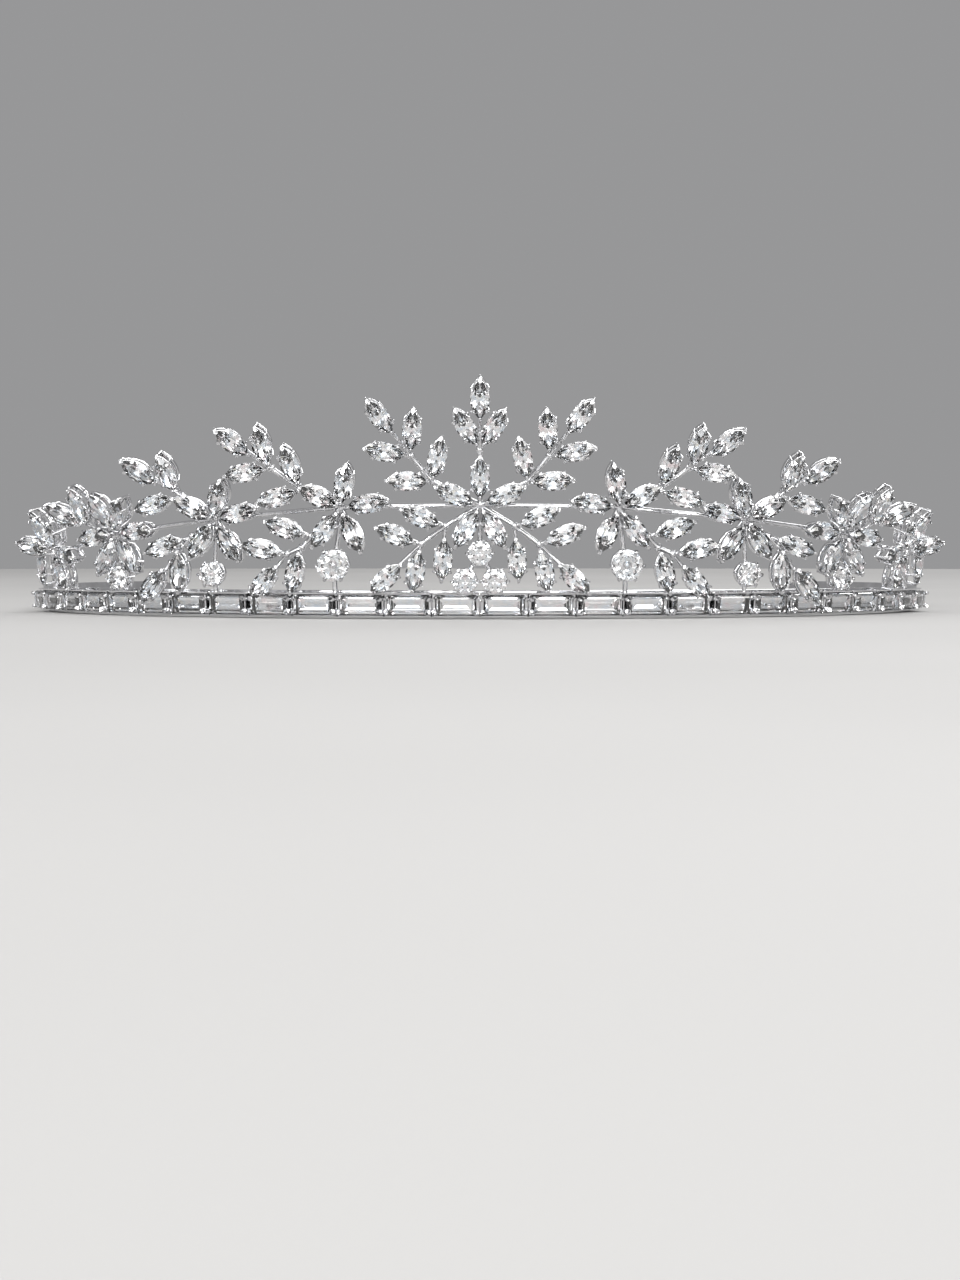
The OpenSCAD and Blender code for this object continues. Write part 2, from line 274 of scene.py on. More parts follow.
PLACES = [Place(*row) for row in (
    (0, 2.23, 0), (3.45, 2.18, 8), (6.93, 1.90, 13), (10.22, 1.56, 13), (13.35, 1.06, 8),
    (14.25, 0.05, 0),
)]
HUB = (0, 0, 0)
STEM_JOINTS = [HUB, (0, 1.40, 0), (0, -1.20, 0), (-0.38, -1.91, 2), (0.38, -1.91, 2)]
WING_JOINTS = [HUB, (1.20, 0.60, 0), (1.75, 1.24, 1), (0.88, -0.54, 0), (1.50, -1.00, 3)]
SIDE_JOINTS = [
    [HUB, (1.00, 0.44, 0), (1.80, 1.02, 1), (0.80, -0.74, 0), (1.07, -1.02, 3), (1.45, -1.18, 4),
     (0.24, -1.46, 0)],
    [HUB, (0.95, 0.62, 0), (0.72, -0.44, 0), (1.02, -0.69, 2), (0.14, -1.42, 0)],
    [HUB, (0.78, 0.08, 0), (0.04, -1.20, 0)],
    [HUB, (0, -1.10, 0)],
    [HUB, (0, -0.10, 0)],
]
STEM_LEAVES = [(0, 0, 0.74, 6), (1, -32, 0.77, 14), (1, 32, 0.77, 14), (1, 0, 1.45, 18)]
WING_LEAVES = [
    (0, 67, 0.74, 6), (0, 149, 0.74, 6), (1, -12, 0.66, 8), (1, 88, 0.68, 8), (2, 80, 0.72, 10),
    (2, -4, 0.76, 14), (2, 37, 1.42, 18), (3, 68, 0.70, 4), (3, 176, 0.84, 0), (4, 68, 0.72, 4),
    (4, 169, 0.69, 0), (4, 134, 1.24, 0),
]
SIDE_LEAVES = [
    [
        (0, -12, 0.74, 16), (0, 62, 0.68, 8), (0, -82, 0.74, 4), (0, 143, 0.74, 4),
        (0, -156, 0.74, 4), (1, 18, 0.84, 18), (1, 104, 0.68, 4), (2, 12, 0.78, 22),
        (2, 51, 1.28, 20), (2, 98, 0.68, 8), (3, 70, 0.70, 0), (4, 166, 0.66, 0),
        (5, 140, 0.92, 0), (5, 76, 0.66, 0),
    ],
    [
        (0, -22, 0.76, 20), (0, 60, 0.68, 8), (0, -78, 0.74, 4), (0, 146, 0.70, 4),
        (0, -148, 0.78, 4), (1, 14, 0.84, 24), (1, 52, 1.30, 20), (1, 106, 0.74, 8),
        (2, 108, 0.76, 0), (3, 178, 0.66, 0), (3, 142, 1.29, 0),
    ],
    [
        (0, -36, 0.88, 26), (0, 26, 0.80, 16), (0, -87, 0.76, 4), (0, 97, 0.74, 0),
        (0, 151, 0.74, 4), (0, -150, 0.74, 4), (1, 10, 0.92, 24), (1, 56, 1.02, 22),
    ],
    [
        (0, -46, 0.88, 22), (0, 14, 0.86, 20), (0, 74, 0.84, 24), (0, -97, 0.81, 6),
        (0, -147, 0.73, 4),
    ],
    [(0, 0, 0.64, 0)],
]
STEM_ROUNDS = [(2, round_d, False), (3, round_d, True), (4, round_d, True)]
SIDE_ROUNDS = [[(6, big_round_d, True)], [(4, round_d, True)], [(2, round_d, True)], [], []]
print(len(PLACES), "hub places, from the middle outwards")

# %% [markdown]
# ## From tables to sprays
# A branch is what one hub carries on one side. The middle spray has three: its stem and a wing to
# each side. Every other spray has one, which faces away from the middle.

# %% Sort the tables into sprays
Branch = namedtuple("Branch", "side joints leaves rounds")
SIDES = {"left": -1, "middle": 1, "right": 1}


def branch(side, joints, leaves, rounds):
    return Branch(side, [Joint(*row) for row in joints], [Leaf(*row) for row in leaves],
                  [Round(*row) for row in rounds])


SPRAYS = {("middle", 0): [
    branch(1, STEM_JOINTS, STEM_LEAVES, STEM_ROUNDS),
    branch(-1, WING_JOINTS, WING_LEAVES, []),
    branch(1, WING_JOINTS, WING_LEAVES, []),
]}
for side_name in ("left", "right"):
    for number, row in enumerate(zip(SIDE_JOINTS, SIDE_LEAVES, SIDE_ROUNDS), start=1):
        SPRAYS[(side_name, number)] = [branch(SIDES[side_name], *row)]

branches = [part for parts in SPRAYS.values() for part in parts]
print(len(SPRAYS), "sprays with", sum(len(part.leaves) for part in branches), "pointed stones and",
      sum(len(part.rounds) for part in branches), "round stones")

# %% Places on a spray


def hub_place(side_name, number):
    """The place of a spray's hub, in the plane of its wires."""
    place, side = PLACES[number], SIDES[side_name]
    return (on_band(side * place.along * leaf_l)
            @ moved(0, rail_top + place.rise * leaf_l, spray_out) @ turned(-side * place.turn, "Y"))


def joint_place(joint, side):
    return moved(side * joint.x * leaf_l, joint.y * leaf_l, 0)


def leaf_place(joints, leaf, side):
    """The middle of a pointed stone's girdle: its length lies along y and its table faces z."""
    return (joint_place(joints[leaf.joint], side) @ turned(-side * leaf.angle, "Z")
            @ turned(leaf.lift, "X") @ moved(0, leaf.reach * leaf_l, girdle_rise))


stem = SPRAYS[("middle", 0)][0]
highest = hub_place("middle", 0) @ leaf_place(stem.joints, stem.leaves[-1], stem.side)
print("the highest stone's middle lies at", [round(v, 1) for v in highest.translation])

# %% [markdown]
# ## Finishes
# All finishes are node materials whose patterns read the Object coordinates, so they stay with
# the piece from every side. A painted picture would also do, but at this size a noise of the
# right scale says the same with a handful of nodes.

# %% Helpers for finishes


def new_finish(name):
    """A node material: the material, its nodes, its shader and the Object coordinates."""
    finish = bpy.data.materials.new(name)
    finish.use_nodes = True
    tree = finish.node_tree
    shader = tree.nodes["Principled BSDF"]
    place = tree.nodes.new("ShaderNodeTexCoord").outputs["Object"]
    return finish, tree, shader, place


def noise(tree, place, scale, detail=4, rough=0.6):
    """A noise of the given scale per metre."""
    node = tree.nodes.new("ShaderNodeTexNoise")
    node.inputs["Scale"].default_value = scale
    node.inputs["Detail"].default_value = detail
    node.inputs["Roughness"].default_value = rough
    tree.links.new(place, node.inputs["Vector"])
    return node.outputs["Fac"]


def tones(tree, fac, *stops):
    """A ramp from a number to colours: (position, colour) for each stop."""
    ramp = tree.nodes.new("ShaderNodeValToRGB")
    while len(ramp.color_ramp.elements) < len(stops):
        ramp.color_ramp.elements.new(0.5)
    for element, (position, colour) in zip(ramp.color_ramp.elements, stops):
        element.position = position
        element.color = (*colour, 1)
    tree.links.new(fac, ramp.inputs["Fac"])
    return ramp.outputs["Color"]


def between(tree, fac, low, high):
    """Maps the middle of a noise to a range of numbers."""
    node = tree.nodes.new("ShaderNodeMapRange")
    node.inputs["From Min"].default_value = 0.3
    node.inputs["From Max"].default_value = 0.7
    node.inputs["To Min"].default_value = low
    node.inputs["To Max"].default_value = high
    tree.links.new(fac, node.inputs["Value"])
    return node.outputs["Result"]


def bump(tree, fac, distance, strength, shader):
    node = tree.nodes.new("ShaderNodeBump")
    node.inputs["Distance"].default_value = distance
    node.inputs["Strength"].default_value = strength
    tree.links.new(fac, node.inputs["Height"])
    tree.links.new(node.outputs["Normal"], shader.inputs["Normal"])


print("finish helpers ready")

# %% [markdown]
# ## Finish of the metal
# The metal is brass plated with rhodium: bright, slightly cool, and polished by hand, so it is
# never a perfect mirror. One noise gives faint cloudy changes of tone, a second one makes some
# patches duller, and a fine bump stands for the drag of the polishing mop.

# %% Plated metal
PLATING = ((0.3, (0.66, 0.66, 0.67)), (0.55, (0.73, 0.73, 0.74)), (0.7, (0.80, 0.80, 0.82)))


def plated_metal():
    finish, tree, shader, place = new_finish("plated_silver")
    cloud = noise(tree, place, scale=420)
    dull = noise(tree, place, scale=900, detail=3)
    drag = noise(tree, place, scale=2600, detail=2)
    tree.links.new(tones(tree, cloud, *PLATING), shader.inputs["Base Color"])
    tree.links.new(between(tree, dull, low=0.05, high=0.13), shader.inputs["Roughness"])
    bump(tree, drag, distance=0.00002, strength=0.12, shader=shader)
    shader.inputs["Metallic"].default_value = 1
    return finish


silver = plated_metal()
print("made", silver.name)

# %% [markdown]
# ## Finish of the stones
# The stones are clear, hard and highly refractive, so light that enters through the top is thrown
# back by the facets behind. A transmitting shader with a refractive index near that of such
# stones does the same with the modelled facets. A mirror finish would be quicker, but it shows
# nothing of the facets behind. Real stones split a little of the light into colours. Here that
# fire is painted into the stones' own colour instead: a noise about as fine as the facets tints
# them faintly rose, blue or yellow, as painted coloured glints. They are handled too, so a finer
# noise gives the facets the faintest haze.

# %% Clear cut stones
WHITE = (1, 1, 1)


def clear_stone(name, rose, blue, yellow, index, haze):
    finish, tree, shader, place = new_finish(name)
    # painted fire: faint rose, blue or yellow tints in the stones' colour stand in for light split
    # into colours, as painted coloured glints
    painted_fire = tones(tree, noise(tree, place, scale=750, detail=2),
                 (0.30, rose), (0.42, WHITE), (0.52, WHITE), (0.60, blue), (0.72, yellow))
    smear = noise(tree, place, scale=2600, detail=5)
    wave = noise(tree, place, scale=1400, detail=2)
    tree.links.new(painted_fire, shader.inputs["Base Color"])
    tree.links.new(between(tree, smear, low=0.0, high=haze), shader.inputs["Roughness"])
    bump(tree, wave, distance=0.00002, strength=0.12, shader=shader)
    shader.inputs["Transmission Weight"].default_value = 1
    shader.inputs["IOR"].default_value = index
    return finish


marquise_finish = clear_stone(
    "clear_marquise", rose=(1, 0.78, 0.80), blue=(0.74, 0.86, 1), yellow=(1, 0.94, 0.74),
    index=2.15, haze=0.03)
round_finish = clear_stone(
    "clear_round", rose=(1, 0.84, 0.85), blue=(0.80, 0.90, 1), yellow=(1, 0.95, 0.80),
    index=2.15, haze=0.02)
baguette_finish = clear_stone(
    "clear_baguette", rose=(1, 0.82, 0.83), blue=(0.80, 0.89, 1), yellow=(1, 0.94, 0.80),
    index=2.10, haze=0.035)
print("made", [m.name for m in (marquise_finish, round_finish, baguette_finish)])

# %% [markdown]
# ## Cutting a stone
# A lapidary starts from a rough block and grinds flat after flat on it. The bisect tool does just
# that: it cuts the block with a plane, throws the outside away and fills the cut with one flat
# face. The corners could also be typed in as points, but then few facets would be truly flat. As
# on the real stone, each facet is set by its angle to the girdle: about 38 degrees above it and
# about 40 below, where light that comes in through the top is thrown back out of the top.

# %% The cutting tools
spare = 0.2
girdle = girdle_h / 2


def rough_block(half_x, half_y, above, below):
    clear_bench()
    bpy.ops.mesh.primitive_cube_add(
        size=1, location=(0, 0, (above - below) / 2), scale=(2 * half_x, 2 * half_y, above + below))
    open_mesh()


def grind(point, normal):
    """Grinds one flat facet: cuts away all that lies outside the plane."""
    bpy.ops.mesh.select_all(action="SELECT")
    bpy.ops.mesh.bisect(
        plane_co=point, plane_no=normal, use_fill=True, clear_outer=True, threshold=0.00001)


def facet(spots, inset, z, angle):
    """Facets at an angle to the girdle, each through a line inset from the outline at height z."""
    steep, flat = math.sin(math.radians(angle)), math.cos(math.radians(angle))
    for at, out in spots:
        foot = at - out * inset
        grind((foot.x, foot.y, z), (out.x * steep, out.y * steep, math.copysign(flat, z)))


Cut = namedtuple("Cut", "crown halves stars pavilion lower tips")
ROUND_CUT = Cut(crown=38, halves=41, stars=22, pavilion=42, lower=43.4, tips=0)
POINTED_CUT = Cut(crown=38, halves=41, stars=22, pavilion=39, lower=40.4, tips=31)


def brilliant(cut, sides, mains, stars, finish, name, half_x, half_y, tips=()):
    """Cuts a brilliant: its sides, then the crown with its table, then the pavilion."""
    rough_block(half_x + spare, half_y + spare, above=1, below=2.5)
    top = girdle + crown_h
    for at, out in sides:
        grind((at.x, at.y, 0), (out.x, out.y, 0))
    facet(mains, 0, girdle, cut.crown)
    facet(sides, 0, girdle, cut.halves)
    grind((0, 0, top), (0, 0, 1))
    facet(stars, crown_h / math.tan(math.radians(cut.crown)), top, cut.stars)
    facet(mains, 0, -girdle, cut.pavilion)
    facet(sides, 0, -girdle, cut.lower)
    facet(tips, 0, -girdle, cut.tips)
    grind((0, 0, -pavilion_h), (0, 0, -1))
    return close_mesh(name, finish)


print("cutting tools ready")

# %% [markdown]
# ## The pointed stone
# A marquise: two equal arcs that meet in a point at both ends. Ten main facets, twenty halves
# along the girdle and a pointed table make its crown, and below the facets meet in a keel, so
# that even a small one has a lively top. Towards the tips the lower facets lie flatter, because
# the facet that should catch their light is far away at the other end.

# %% Cut the pointed stone
GIRDLE_SHARES = (-0.94, -0.74, -0.5, -0.3, -0.1, 0.1, 0.3, 0.5, 0.74, 0.94)
MAIN_SHARES = (-0.84, -0.4, 0, 0.4, 0.84)
STAR_SHARES = (-0.6, -0.2, 0.2, 0.6)
TIP_SHARES = (-0.94, -0.84, 0.84, 0.94)


def arc_r(half_l, half_w):
    """The radius of the two arcs that make a pointed outline."""
    return (half_l**2 + half_w**2) / (2 * half_w)


def leaf_points(shares, out):
    """Points and outward normals on both arcs of a pointed stone, at shares of the half arc."""
    half_l, half_w = leaf_l / 2, leaf_w / 2
    r = arc_r(half_l, half_w)
    full = math.asin(half_l / r)
    points = []
    for side in (-1, 1):
        for share in shares:
            across, along = math.cos(share * full), math.sin(share * full)
            at = Vector((side * ((r + out) * across - r + half_w), (r + out) * along))
            points.append((at, Vector((side * across, along))))
    return points


marquise = brilliant(
    POINTED_CUT, sides=leaf_points(GIRDLE_SHARES, notch), mains=leaf_points(MAIN_SHARES, notch),
    stars=leaf_points(STAR_SHARES, notch), tips=leaf_points(TIP_SHARES, notch),
    finish=marquise_finish, name="marquise", half_x=leaf_w / 2 + notch, half_y=leaf_l / 2 + notch)

# %% [markdown]
# ## The round stones
# The classic round brilliant: eight mains, sixteen halves and eight stars. It is cut once at the
# smaller size, and the larger one beside the middle spray is cut again rather than scaled, so
# that its crown stays as low as the others.

# %% Cut the round stones


def circle_points(d, count, start):
    """Points and outward normals, evenly round a circle."""
    points = []
    for i in range(count):
        a = math.radians(start + 360 * i / count)
        out = Vector((math.cos(a), math.sin(a)))
        points.append((out * d / 2, out))
    return points


def cut_round(d, name):
    return brilliant(
        ROUND_CUT, sides=circle_points(d, count=16, start=11.25),
        mains=circle_points(d, count=8, start=0), stars=circle_points(d, count=8, start=22.5),
        finish=round_finish, name=name, half_x=d / 2, half_y=d / 2)


round_stones = {d: cut_round(d + 2 * notch, name)
                for d, name in ((round_d, "round"), (big_round_d, "big_round"))}

# %% [markdown]
# ## The rectangular stones
# A baguette is step cut: long narrow flats run parallel to its four sides, three rows above the
# girdle and three below, and they end in a keel. The flats mirror each other and give the broad
# dark and bright bands that such a stone shows. Each row runs from one step of the table below
# to the next.

# %% Cut the rectangular stone
Step = namedtuple("Step", "inset height")
CROWN_STEPS = [Step(0, girdle), Step(0.10, 0.28), Step(0.22, 0.47), Step(0.45, crown_h + girdle)]
PAVILION_STEPS = [Step(0, -girdle), Step(0.41, -0.50), Step(0.92, -0.99), Step(1.45, -1.46)]


def cut_baguette():
    half = Vector((baguette_l / 2 + 2 * notch, baguette_w / 2))
    rough_block(half.x, half.y, above=crown_h + spare, below=pavilion_h)
    outwards = [Vector(way) for way in ((1, 0), (-1, 0), (0, 1), (0, -1))]
    for steps in (CROWN_STEPS, PAVILION_STEPS):
        for step, following in zip(steps, steps[1:]):
            rise = following.height - step.height
            run = following.inset - step.inset
            for out in outwards:
                foot = half * out - out * step.inset
                grind((foot.x, foot.y, step.height),
                      (out.x * abs(rise), out.y * abs(rise), math.copysign(run, rise)))
    grind((0, 0, crown_h + girdle), (0, 0, 1))
    return close_mesh("baguette", baguette_finish)


baguette = cut_baguette()

# %% [markdown]
# ## Claws
# A claw is a short round wire, soldered upright to the basket. Once the stone is in, its end is
# pushed over the stone's edge and rounded with a beading tool. It is drawn here from a circle,
# extruded from station to station, with each new end moved, tilted and made thicker or thinner.
# A bevelled curve with a radius at each point could draw it too, but here every station of the
# bend, and of the bead at its end, can be read off a row of numbers.

# %% Draw the claws
Station = namedtuple("Station", "x z r tilt")


def draw_claw(name, stations, sides=8):
    """A claw that stands on the origin and bends towards -x, over its stone."""
    first = stations[0]
    clear_bench()
    bpy.ops.mesh.primitive_circle_add(
        vertices=sides, radius=first.r, fill_type="NGON", location=(first.x, 0, first.z))
    open_mesh()
    for last, now in zip(stations, stations[1:]):
        bpy.ops.mesh.extrude_region_move(
            TRANSFORM_OT_translate={"value": (now.x - last.x, 0, now.z - last.z)})
        middle = (now.x, 0, now.z)
        scale = now.r / last.r
        bpy.ops.transform.resize(value=(scale,) * 3, center_override=middle)
        if now.tilt != last.tilt:
            bpy.ops.transform.rotate(
                value=math.radians(now.tilt - last.tilt), orient_axis="Y", center_override=middle)
    return close_mesh(name, silver, smooth=75)


claw_foot = -girdle_rise - ring_h / 2
claw_draw_in = 0.34
side_claw = draw_claw("claw", [
    Station(-claw_draw_in, claw_foot, 0.17, 0), Station(-0.06, -0.7, 0.18, 0),
    Station(-0.02, 0.05, 0.22, -8), Station(-0.12, 0.34, 0.28, -35),
    Station(-0.32, 0.50, 0.29, -60), Station(-0.50, 0.54, 0.17, -80),
    Station(-0.57, 0.54, 0.06, -85)])
tip_claw = draw_claw("tip_claw", [
    Station(-claw_draw_in - 0.1, claw_foot, 0.20, 0), Station(-0.10, -0.7, 0.22, 0),
    Station(-0.06, 0.02, 0.27, -10), Station(-0.18, 0.26, 0.30, -40),
    Station(-0.42, 0.38, 0.27, -65), Station(-0.62, 0.40, 0.13, -80),
    Station(-0.68, 0.40, 0.05, -85)])

# %% [markdown]
# ## Baskets for the pointed stones
# A basket is two rings on the claws: a broad gallery ring below, to which the wire is soldered,
# and a thin seat ring just under the stone's girdle. Both follow the stone's outline. The outline
# starts as a circle, is cut through by a plane and mirrored, which gives two arcs with sharp
# points, and is then raised to a wall: extruded up, thickened inwards and eased, so that the
# edges catch the light.

# %% Bend the pointed rings
ring_edge = 0.07
gallery_out = 0.10
seat_out, seat_in, seat_low, seat_high = 0.16, 0.10, -0.48, -0.22


def raise_wall(name, height, wall):
    """Makes a ring of the outline on the bench, which is its outer edge."""
    bpy.ops.mesh.select_all(action="SELECT")
    bpy.ops.mesh.extrude_region_move(TRANSFORM_OT_translate={"value": (0, 0, height)})
    bpy.ops.mesh.select_all(action="SELECT")
    bpy.ops.mesh.normals_make_consistent(inside=False)
    add_modifier("SOLIDIFY", thickness=wall, offset=-1)
    ease_edges(ring_edge, segments=1)
    return close_mesh(name, silver, smooth=50)


def pointed_ring(name, outer, inner, low, high, steps=44):
    """A ring round a pointed stone, from inner inside to outer outside the stone's edge."""
    half_l, half_w = leaf_l / 2 + outer, leaf_w / 2 + outer
    r = arc_r(half_l, half_w)
    clear_bench()
    bpy.ops.mesh.primitive_circle_add(vertices=steps, radius=r, location=(half_w - r, 0, low))
    open_mesh()
    bpy.ops.mesh.bisect(plane_co=(0, 0, 0), plane_no=(1, 0, 0), clear_inner=True)
    add_modifier("MIRROR", use_axis=(True, False, False), merge_threshold=0.01)
    return raise_wall(name, high - low, outer + inner)


gallery = pointed_ring("gallery", gallery_out, ring_in, claw_foot, claw_foot + ring_h)
seat = pointed_ring("seat", seat_out, seat_in, seat_low, seat_high)

# %% Put the pointed basket together


def at_outline(point, out):
    """A place on the outline whose x axis points outwards."""
    return moved(point.x, point.y, 0) @ turned(math.degrees(math.atan2(out.y, out.x)), "Z")


def bench_join(name, parts):
    """Joins copies of parts, each at its place, to a new model."""
    return keep_model(joined([copied(part, place) for part, place in parts]), name)


claw_out = stone_fit + prong_d / 2
tip_at = leaf_l / 2 + claw_out
claws = [(side_claw, at_outline(*spot)) for spot in leaf_points((-0.5, 0.5), claw_out)]
claws += [(tip_claw, at_outline(Vector((0, y * tip_at)), Vector((0, y)))) for y in (-1, 1)]
pointed_basket = bench_join("pointed_basket", [(gallery, Matrix()), (seat, Matrix())] + claws)

# %% [markdown]
# ## Baskets for the round stones
# The same basket with round rings and six claws. A torus would be the quick way, but real rings
# are cut from tube and have flat walls, so these too are raised from a circle.

# %% Bend the round rings


def round_ring(name, outer_r, wall, low, high, steps=24):
    clear_bench()
    bpy.ops.mesh.primitive_circle_add(vertices=steps, radius=outer_r, location=(0, 0, low))
    open_mesh()
    return raise_wall(name, high - low, wall)


def round_basket(d):
    lower = round_ring(
        "round_gallery", d / 2 + gallery_out, gallery_out + ring_in, claw_foot, claw_foot + ring_h)
    upper = round_ring("round_seat", d / 2 + seat_out, seat_out + seat_in, seat_low, seat_high)
    spots = circle_points(d + 2 * claw_out, count=6, start=0)
    return bench_join(f"round_basket_{d}", [(lower, Matrix()), (upper, Matrix())]
                      + [(side_claw, at_outline(*spot)) for spot in spots])


round_baskets = {d: round_basket(d) for d in (round_d, big_round_d)}

# %% [markdown]
# ## Wires and solder
# The stems are round wire, cut to length and soldered. Solder creeps up a little at both ends,
# so each wire is drawn thicker there. It is modelled one millimetre long and stretched to its
# length when it is set. Where wires meet, a flattened drop of solder joins them: a ball, pressed
# flat, and made a little uneven as real solder is.

# %% Draw the wires and the solder
Swell = namedtuple("Swell", "at width")
SWELLS = [Swell(0, 1.35), Swell(0.05, 1.12), Swell(0.16, 1), Swell(0.84, 1), Swell(0.95, 1.12),
          Swell(1, 1.35)]


def draw_wire(name, d, sides=8):
    """A wire of length 1 along +y, with solder at both ends."""
    clear_bench()
    bpy.ops.mesh.primitive_circle_add(
        vertices=sides, radius=d / 2 * SWELLS[0].width, fill_type="NGON",
        rotation=(math.radians(90), 0, 0))
    open_mesh()
    for last, now in zip(SWELLS, SWELLS[1:]):
        bpy.ops.mesh.extrude_region_move(
            TRANSFORM_OT_translate={"value": (0, now.at - last.at, 0)})
        scale = now.width / last.width
        bpy.ops.transform.resize(value=(scale, 1, scale), center_override=(0, now.at, 0))
    return close_mesh(name, silver, smooth=50)


def drop_of_solder(radius=0.62, pressed=0.72, uneven=0.05):
    clear_bench()
    bpy.ops.mesh.primitive_uv_sphere_add(segments=12, ring_count=7, radius=radius)
    open_mesh()
    bpy.ops.transform.resize(value=(1, 1, pressed), center_override=(0, 0, 0))
    bpy.ops.transform.vertex_random(offset=uneven, uniform=0.4, seed=3)
    return close_mesh("solder", silver, smooth=80)


thin_wire = draw_wire("thin_wire", wire_d)
stem_wire = draw_wire("stem_wire", stem_d)
solder = drop_of_solder()


def wire_place(start, end):
    """Lays a wire of length 1 from one point to another."""
    reach = end - start
    return (Matrix.Translation(start) @ reach.to_track_quat("Y", "Z").to_matrix().to_4x4()
            @ Matrix.Scale(reach.length, 4, (0, 1, 0)))


# %% [markdown]
# ## The headband
# A flat strip that leans outwards, bent to two arcs a side and open behind. Its section starts as
# a small square face at the middle of the front and is spun round the front arc's centre, and on
# round the side arc's. A bevelled curve would follow the same arcs, but a spin needs no more than
# the section, a centre and an angle. The two corners of its free end are rounded so that nothing
# catches on them, and the half is mirrored.

# %% Bend the headband
band_edge, end_round = 0.16, band_h / 2 - 0.05
front_steps, side_steps, end_steps = 24, 46, 7


def make_headband():
    flare = band_h * math.tan(math.radians(lean_deg))
    clear_bench()
    middle = (0, front_y - front_r + band_t / 2, band_h / 2)
    bpy.ops.mesh.primitive_plane_add(size=1, location=middle, rotation=(0, math.radians(90), 0))
    open_mesh()
    bpy.ops.transform.resize(value=(1, band_t, band_h), center_override=middle)
    pick("VERT", lambda at, normal: at.z > band_h / 2)
    bpy.ops.transform.translate(value=(0, -flare, 0))
    bpy.ops.mesh.select_all(action="SELECT")
    bpy.ops.mesh.spin(
        steps=front_steps, angle=math.radians(-blend_deg), center=(0, front_y, 0), axis=(0, 0, 1))
    bpy.ops.mesh.spin(
        steps=side_steps, angle=math.radians(blend_deg - end_deg), center=(side_x, 0, 0),
        axis=(0, 0, 1))
    end = on_band(end_len) @ Vector((0, band_h / 2, -band_t / 2))
    across = (end - Vector((side_x, 0, end.z))).normalized()
    pick("EDGE", lambda at, run: (at - end).length < 0.6 * band_h and abs(run.dot(across)) > 0.5)
    bpy.ops.mesh.bevel(offset=end_round, segments=end_steps, affect="EDGES")
    pick("FACE", lambda at, normal: abs(at.x) < 0.01 and abs(normal.x) > 0.9)
    bpy.ops.mesh.delete(type="FACE")
    add_modifier("MIRROR", use_axis=(True, False, False), merge_threshold=0.01)
    bpy.ops.mesh.select_all(action="SELECT")
    bpy.ops.mesh.remove_doubles(threshold=0.001)
    bpy.ops.mesh.normals_make_consistent(inside=False)
    ease_edges(band_edge, segments=2)
    strip = close_mesh("bent_strip", silver, smooth=40)
    return fuse("headband", [set_on(strip, Matrix())])


finished(make_headband(), "frame")

# %% [markdown]
# ## The rail
# Each rectangular stone sits in an open frame: a block with a window cut through it, and a thin
# lip above and below that holds the stone's long edges. A solder block carries the frames on the
# band where two stones meet, and four round claws reach over the stones' corners. A boolean
# would cut the window too, but an inset on both faces and a bridge leave a cleaner mesh. One
# frame and one joint are modelled and set along the band.

# %% Frame of one rectangular stone
ledge_x, ledge_y, cell_edge = 0.7 * ring_in, ring_in, 0.05
lip_clear, end_cover = 0.08, 0.1
lip_rise, end_drop = 0.35 * baguette_seat, 0.15 * rail_depth


def split_at(point, normal):
    """Cuts through the mesh on the bench without taking anything away."""
    bpy.ops.mesh.select_all(action="SELECT")
    bpy.ops.mesh.bisect(plane_co=point, plane_no=normal)


def make_rail_cell():
    clear_bench()
    middle = (0, rail_mid, rail_gap + rail_depth / 2)
    bpy.ops.mesh.primitive_cube_add(size=1, location=middle)
    open_mesh()
    bpy.ops.transform.resize(value=(rail_pitch, rail_h, rail_depth), center_override=middle)
    window_x, window_y = baguette_l - 2 * ledge_x, baguette_w - 2 * ledge_y
    wall = (rail_h - window_y) / 2
    pick("FACE", lambda at, normal: abs(normal.z) > 0.9)
    bpy.ops.mesh.inset(thickness=wall)
    bpy.ops.transform.resize(
        value=(window_x / (rail_pitch - 2 * wall), 1, 1), center_override=middle)
    bpy.ops.mesh.bridge_edge_loops()
    lip = baguette_w / 2 + lip_clear
    for y in (-lip, lip):
        split_at((0, rail_mid + y, 0), (0, 1, 0))
    pick("FACE", lambda at, normal: normal.z > 0.9 and abs(at.y - rail_mid) > lip)
    bpy.ops.mesh.extrude_region_move(TRANSFORM_OT_translate={"value": (0, 0, lip_rise)})
    end = baguette_l / 2 - end_cover
    for x in (-end, end):
        split_at((x, 0, 0), (1, 0, 0))
    pick("FACE", lambda at, normal: normal.z > 0.9 and abs(at.x) > end
         and abs(at.y - rail_mid) < lip)
    bpy.ops.mesh.extrude_region_move(TRANSFORM_OT_translate={"value": (0, 0, -end_drop)})
    ease_edges(cell_edge, segments=1)
    return close_mesh("rail_cell", silver, smooth=40)


rail_cell = make_rail_cell()

# %% Joint between two rectangular stones
corner_x, corner_y, corner_turn = 0.22, 0.27 * baguette_w, 32
block_w, block_edge = 1.4 * bead_d, 0.15


def make_rail_joint():
    clear_bench()
    depth = band_t / 2 + rail_gap + rail_depth / 2
    middle = (0, rail_mid, depth / 2 - band_t / 2)
    bpy.ops.mesh.primitive_cube_add(size=1, location=middle)
    open_mesh()
    bpy.ops.transform.resize(value=(block_w, rail_h / 2, depth), center_override=middle)
    add_modifier("BEVEL", width=block_edge, segments=2)
    block = close_mesh("solder_block", silver, smooth=40)
    top = rail_front + baguette_seat
    claw = draw_claw("corner_claw", [
        Station(0, rail_gap, 0.19, 0), Station(0, top - 0.35, 0.19, 0),
        Station(-0.04, top + 0.14, 0.24, -10), Station(-0.22, top + 0.44, 0.33, -35),
        Station(-0.48, top + 0.62, 0.37, -60), Station(-0.72, top + 0.66, 0.22, -78),
        Station(-0.82, top + 0.65, 0.08, -84)])
    parts = [(block, Matrix())]
    for x in (-1, 1):
        for y in (-1, 1):
            parts.append((claw, moved(x * corner_x, rail_mid + y * corner_y, 0)
                          @ turned(90 + 90 * x, "Z") @ turned(corner_turn * x * y, "Z")))
    return bench_join("rail_joint", parts)


rail_joint = make_rail_joint()

